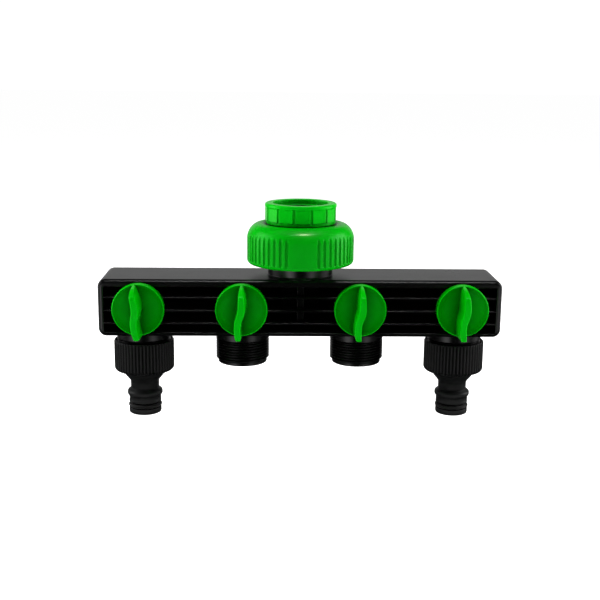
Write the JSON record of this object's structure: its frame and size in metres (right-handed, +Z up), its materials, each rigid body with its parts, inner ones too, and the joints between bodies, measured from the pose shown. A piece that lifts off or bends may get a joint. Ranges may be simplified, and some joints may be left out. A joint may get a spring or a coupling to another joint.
{
  "type": "hose splitter",
  "caption": "Hose splitter manifold with a swivel tap inlet on top, turn-to-shut valve knobs on the front, and threaded outlets with quick-connect nozzles below.",
  "frame": {"origin": "centre of the flat back face of the manifold bar", "axes": "+X to the right of a person facing the knobs, +Y from the knobs to the back face, +Z up along the inlet axis"},
  "size_m": [0.1948, 0.0608, 0.1063],
  "materials": {
    "black_plastic": "satin moulded black",
    "grey_plastic": "matt moulded dark grey",
    "green_plastic": "semi-gloss moulded green",
    "white_acetal": "smooth moulded white",
    "black_rubber": "matt rubber"
  },
  "bodies": {
    "manifold": {"manifold_body": "black_plastic", "end_plug_left": "black_plastic", "end_plug_right": "black_plastic", "inlet_tail": "black_plastic", "valve_retainer_1": "black_plastic", "valve_retainer_2": "black_plastic", "valve_retainer_3": "black_plastic", "valve_retainer_4": "black_plastic", "port_seal_1": "black_rubber", "port_seal_2": "black_rubber", "port_seal_3": "black_rubber", "port_seal_4": "black_rubber"},
    "valve_1": {"knob_1": "green_plastic", "valve_plug_1": "white_acetal", "stem_oring_1": "black_rubber"},
    "valve_2": {"knob_2": "green_plastic", "valve_plug_2": "white_acetal", "stem_oring_2": "black_rubber"},
    "valve_3": {"knob_3": "green_plastic", "valve_plug_3": "white_acetal", "stem_oring_3": "black_rubber"},
    "valve_4": {"knob_4": "green_plastic", "valve_plug_4": "white_acetal", "stem_oring_4": "black_rubber"},
    "swivel_nut": {"swivel_nut": "green_plastic"},
    "inlet_gasket": {"inlet_gasket": "black_rubber"},
    "inlet_adaptor": {"inlet_adaptor": "green_plastic", "adaptor_washer": "black_rubber"},
    "connector_washer_left": {"connector_washer_left": "black_rubber"},
    "connector_left": {"connector_left": "grey_plastic", "spigot_oring_left": "black_rubber"},
    "connector_washer_right": {"connector_washer_right": "black_rubber"},
    "connector_right": {"connector_right": "grey_plastic", "spigot_oring_right": "black_rubber"}
  },
  "joints": [
    {"name": "valve_turn_1", "type": "hinge", "parent": "manifold", "child": "valve_1", "pos_m": [-0.0775, -0.017, 0.0003], "axis": [0, 1, 0], "range_deg": [-3, 97]},
    {"name": "valve_turn_2", "type": "hinge", "parent": "manifold", "child": "valve_2", "pos_m": [-0.0284, -0.017, 0.0003], "axis": [0, 1, 0], "range_deg": [-12.4, 87.6]},
    {"name": "valve_turn_3", "type": "hinge", "parent": "manifold", "child": "valve_3", "pos_m": [0.0284, -0.017, 0.0003], "axis": [0, 1, 0], "range_deg": [-13.1, 86.9]},
    {"name": "valve_turn_4", "type": "hinge", "parent": "manifold", "child": "valve_4", "pos_m": [0.0775, -0.017, 0.0003], "axis": [0, 1, 0], "range_deg": [-11.5, 88.5]},
    {"name": "nut_spin", "type": "hinge", "parent": "manifold", "child": "swivel_nut", "pos_m": [0, -0.017, 0.03], "axis": [0, 0, 1], "continuous": true},
    {"name": "adaptor_rise", "type": "slide", "parent": "swivel_nut", "child": "inlet_gasket", "axis": [0, 0, 1], "range_m": [0, 0.0115]},
    {"name": "adaptor_unscrew", "type": "hinge", "parent": "inlet_gasket", "child": "inlet_adaptor", "pos_m": [0, -0.017, 0.03], "axis": [0, 0, 1], "range_deg": [0, 1800]},
    {"name": "connector_left_drop", "type": "slide", "parent": "manifold", "child": "connector_washer_left", "axis": [0, 0, -1], "range_m": [0, 0.0109]},
    {"name": "connector_left_unscrew", "type": "hinge", "parent": "connector_washer_left", "child": "connector_left", "pos_m": [-0.0775, -0.017, -0.03], "axis": [0, 0, -1], "range_deg": [0, 2952]},
    {"name": "connector_right_drop", "type": "slide", "parent": "manifold", "child": "connector_washer_right", "axis": [0, 0, -1], "range_m": [0, 0.0109]},
    {"name": "connector_right_unscrew", "type": "hinge", "parent": "connector_washer_right", "child": "connector_right", "pos_m": [0.0775, -0.017, -0.03], "axis": [0, 0, -1], "range_deg": [0, 2952]}
  ],
  "couplings": [
    {"joint": "adaptor_unscrew", "follows": "adaptor_rise", "rad_per_m": 2721.2},
    {"joint": "connector_left_unscrew", "follows": "connector_left_drop", "rad_per_m": 4724.2},
    {"joint": "connector_right_unscrew", "follows": "connector_right_drop", "rad_per_m": 4724.2}
  ]
}
